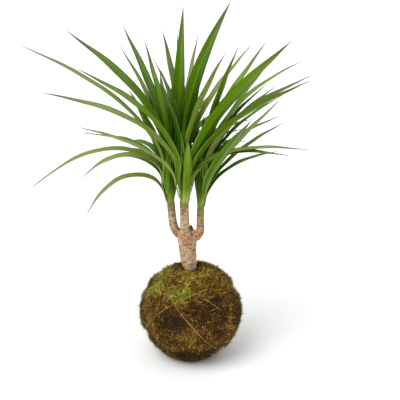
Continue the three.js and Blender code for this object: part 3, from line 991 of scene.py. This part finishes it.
def looks_unseen(leaf):
    """How wide the leaves at the back and in the heart look, and their tint. Behind the crown they are broad
    and deep green. Beside it a back leaf is narrow and pale, and in front a heart leaf is narrow."""
    aside, behind = abs(math.cos(math.radians(leaf["turn"]))), math.sin(math.radians(leaf["turn"]))
    if "room" in leaf:
        return 5.2 + 2.4 * behind, 0.08
    return 7 - 4.4 * aside, 0.08 + 0.7 * aside


def height_share(leaf):
    """From 0 for a leaf that lies low to 1 for an upright one."""
    return 1 - min(1, max(0, leaf["first"] + leaf["last"]) / 180)


def midrib(top, leaf, steps):
    """Places along a leaf, with its turn and lean at each."""
    high = height_share(leaf)
    root = top + heading(leaf["turn"], 90) * (1.6 - high) + (0, 0, 3 + 24 * high)
    half, full = (np.arange(steps) + 0.5) / steps, np.arange(steps + 1) / steps

    def lean_at(share):
        return leaf["first"] + (leaf["last"] - leaf["first"]) * (1 - (1 - share) ** 2)

    moves = heading(leaf["turn"] + leaf["sweep"] * half, lean_at(half)) * leaf["length"] / steps
    places = np.concatenate([root[None], root + np.cumsum(moves, axis=0)])
    return places, leaf["turn"] + leaf["sweep"] * full, lean_at(full), full


def settled(top, leaf, tips):
    """The leaf turned as it is in the CAD crown, where it ends on one of the crown's corners. It is None if
    it isn't there. A short leaf's tip is grown over by the others in that crown, so it stays as it is."""
    if leaf["length"] < SHORT_LEAF:
        return leaf
    for tries in range(MOST_TURNS + 1):
        away = math.ceil(tries / 2) * TURN_STEP * (1 if tries % 2 else -1)
        turned = {**leaf, "turn": leaf["turn"] + away}
        tip = midrib(top, turned, RIB_STEPS)[0][-1]
        if tips.find(Vector(tip) * MM)[2] < TIP_SLACK * MM:
            return turned
    return None


def blade_width(share, waist, taper):
    """How wide a blade is along its length, from a waist at its root and with a taper over that share."""
    base = waist + (1 - waist) * np.sin(math.pi / 2 * np.minimum(1, share / 0.4))
    return base * np.sin(math.pi / 2 * np.minimum(1, np.maximum(0, 1 - share) / taper))


def turned_about(vectors, axes, angles):
    angles = angles[:, None]
    return (vectors * np.cos(angles) + np.cross(axes, vectors) * np.sin(angles)
            + axes * np.sum(axes * vectors, axis=1, keepdims=True) * (1 - np.cos(angles)))


def roll_to_look(to_front, leaf, near=0):
    """The roll nearest to a given one, in degrees, after which the leaf looks as wide from the front as it
    should. A blade whose face has turned away from the viewer by to_front shows the cosine of its width."""
    most = math.acos(min(1, 1.2 * leaf["looks"][0] / leaf["width"]))
    rolls = [angle - to_front for angle in (most, -most, math.pi - most, most - math.pi)]
    rolls = [(math.degrees(roll) - near + 180) % 360 - 180 for roll in rolls]
    return near + min(rolls, key=abs)


def blade_points(top, radius, leaf, inner, shape):
    """One leaf: its base clasps the leaves inside it, then it opens to a folded blade. Inner is 0 for the
    crown's outermost leaf and 1 for its innermost."""
    rib, turns, leans, shares = midrib(top, leaf, FINE_RIB_STEPS)
    out = heading(leaf["turn"], 90)

    # The base starts on the shoot, low for an outer leaf and higher for an inner one
    root = rib[0] - top
    bottom = min(-1.5 + 15 * max(0, inner), root[2])
    below = np.linspace(bottom, root[2], BASE_STEPS, endpoint=False)
    sunk = top + np.stack([root[0] + 0 * below, root[1] + 0 * below, below], 1)
    line = np.concatenate([sunk[below < root[2]], rib])
    extra = len(line) - len(rib)
    turns = np.concatenate([np.full(extra, turns[0]), turns])
    leans = np.concatenate([np.full(extra, 0.0), leans])
    shares = np.concatenate([np.full(extra, 0.0), shares])

    # Each place is moved out far enough to clasp what lies inside it
    offset = line - top
    risen = offset[:, 2] - bottom
    inside = radius + 0.4 - 1.6 * inner
    clasp = inside + CLASP_SPREAD * np.clip(risen, 0, CLASP_SPREADS_TO)
    clasp = clasp - 1.1 * smoothly(risen, 4.5, 0)
    if leaf["length"] > SHORT_LEAF:
        clasp = clasp * (1 - smoothly(risen, CLASP_SPREADS_TO, CLASP_END)) * leaf.get("room", 1)
    far = np.maximum(0, offset @ out)
    line = line + ((far**3 + clasp**3) ** (1 / 3) - far)[:, None] * out

    walked = np.concatenate([[0], np.cumsum(np.linalg.norm(np.diff(line, axis=0), axis=1))])
    spread = np.linspace(0, 1, BLADE_STATIONS)
    at = walked[-1] * (0.6 * spread + 0.4 * spread**2)
    places = np.stack([np.interp(at, walked, line[:, k]) for k in range(3)], 1)
    share = np.interp(at, walked, shares)
    turn = np.interp(at, walked, turns)
    along = unit(np.gradient(places, axis=0))
    level = heading(turn + 90, 90 + 0 * turn)
    side = unit(level - np.sum(level * along, axis=1, keepdims=True) * along)
    face = np.cross(along, side)
    to_front = np.arctan2(side @ TO_VIEWER, face @ TO_VIEWER)
    lower = roll_to_look(to_front[BLADE_STATIONS * 2 // 5], leaf)
    upper = roll_to_look(to_front[BLADE_STATIONS * 3 // 4], leaf, lower)
    roll = leaf["twist"] * share * (1 - share)
    roll = roll + lower * smoothly(share, 0.04, 0.3) + (upper - lower) * smoothly(share, 0.3, 0.75)
    side = turned_about(side, along, np.radians(roll))
    face = np.cross(along, side)

    opened = smoothly(at, 0.5 * SHEATH_LENGTH, 2.2 * SHEATH_LENGTH)
    wrapped = 1 - smoothly(at, 0, SHEATH_LENGTH)
    curl = np.maximum(2.2, inside + CLASP_SPREAD * np.minimum(at, CLASP_SPREADS_TO))
    taper = 0.36 + 0.24 * leaf["looks"][0] / leaf["width"]
    waist = 0.95 if leaf["length"] < SHORT_LEAF else 0.32
    half = leaf["width"] * blade_width(share, waist, taper) / 2
    half = np.maximum(half, wrapped * curl * math.radians(SHEATH_REACH))

    station = np.round(shape[:, 2]).astype(int)
    across, skin = shape[:, 0], shape[:, 1]
    half, curl, opened, share = half[station], curl[station], opened[station], share[station]
    angle = across * half / curl
    wave = BLADE_WAVE * np.sin(share * 23 + leaf["twist"]) * np.abs(across) ** 3
    folded = 2 * half * BLADE_FOLD * (1 - 0.6 * share) * np.abs(across) ** 1.15 + wave
    rise = (1 - opened) * curl * (1 - np.cos(angle)) + opened * folded
    reach = (1 - opened) * curl * np.sin(angle) + opened * across * half
    thick = 0.5 * BLADE_THICKNESS * (1 - 0.6 * share) * skin
    points = places[station] + reach[:, None] * side[station] + (rise + thick)[:, None] * face[station]
    return points, at[station] / walked[-1]


def make_leaves():
    shape, faces = tube(BLADE_RING, BLADE_STATIONS)
    material = leaf_material()
    for order, (name, (path, radius)) in enumerate(SHOOTS.items()):
        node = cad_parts[f"leaves_{name}"]
        tips = KDTree(len(node.data.vertices))
        for i, vertex in enumerate(node.data.vertices):
            tips.insert(vertex.co, i)
        tips.balance()
        top = np.array(path[-1], float)
        start = part(0.23 + 0.31 * order)
        leaves = [*seen_leaves(name, start), *other_leaves(start)]
        leaves = [settled(top, leaf, tips) for leaf in leaves]
        leaves = sorted((leaf for leaf in leaves if leaf), key=height_share)
        for leaf in leaves:
            leaf.setdefault("looks", looks_unseen(leaf))
        blades, alongs, tints, rises = [], [], [], []
        for layer, leaf in enumerate(leaves):
            inner = -1.2 if leaf["length"] < SHORT_LEAF else layer / (len(leaves) - 1)
            points, share = blade_points(top, radius, leaf, inner, shape)
            blades.append(points)
            alongs.append(share * leaf["age"])
            rises.append(np.where(share > 0.3, 1, (points[:, 2] - top[2]) / PALE_HEIGHT))
            tints.append(np.full(len(points), leaf["looks"][1]))
        count = len(blades)
        heart, heart_faces = limb(top + np.array([(0, 0, height) for height, _ in HEART], float),
                                  radius + np.array([extra for _, extra in HEART]), sides=16)
        plain = np.ones(len(heart))
        # The heart's tint is the deepest green, as painted shade in the crown's middle
        mesh = gathered(f"crown_{name}", [(np.array(blades), faces), (heart[None], heart_faces)], {
            "along": np.concatenate([*alongs, 0.2 * plain]),
            "rise": np.concatenate([*rises, (heart[:, 2] - top[2]) / PALE_HEIGHT]),
            "tint": np.concatenate([*tints, HEART_SHADE_TINT * plain]),
            "across": np.concatenate([np.tile(shape[:, 0], count), 0 * plain]),
            "skin": np.concatenate([np.tile(0.5 + 0.5 * shape[:, 1], count), plain])})
        make_piece(mesh, material, "leaf", f"leaves_{name}")


make_camera()
make_stage()
make_sun("key", turn=224, lean=40, strength=1.9, softness=45)
make_sun("fill", turn=320, lean=55, strength=0.15, softness=60)

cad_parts["soil_core"].data.materials.clear()
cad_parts["soil_core"].data.materials.append(soil_material())
make_moss()
make_twine()
make_cane()
make_leaves()
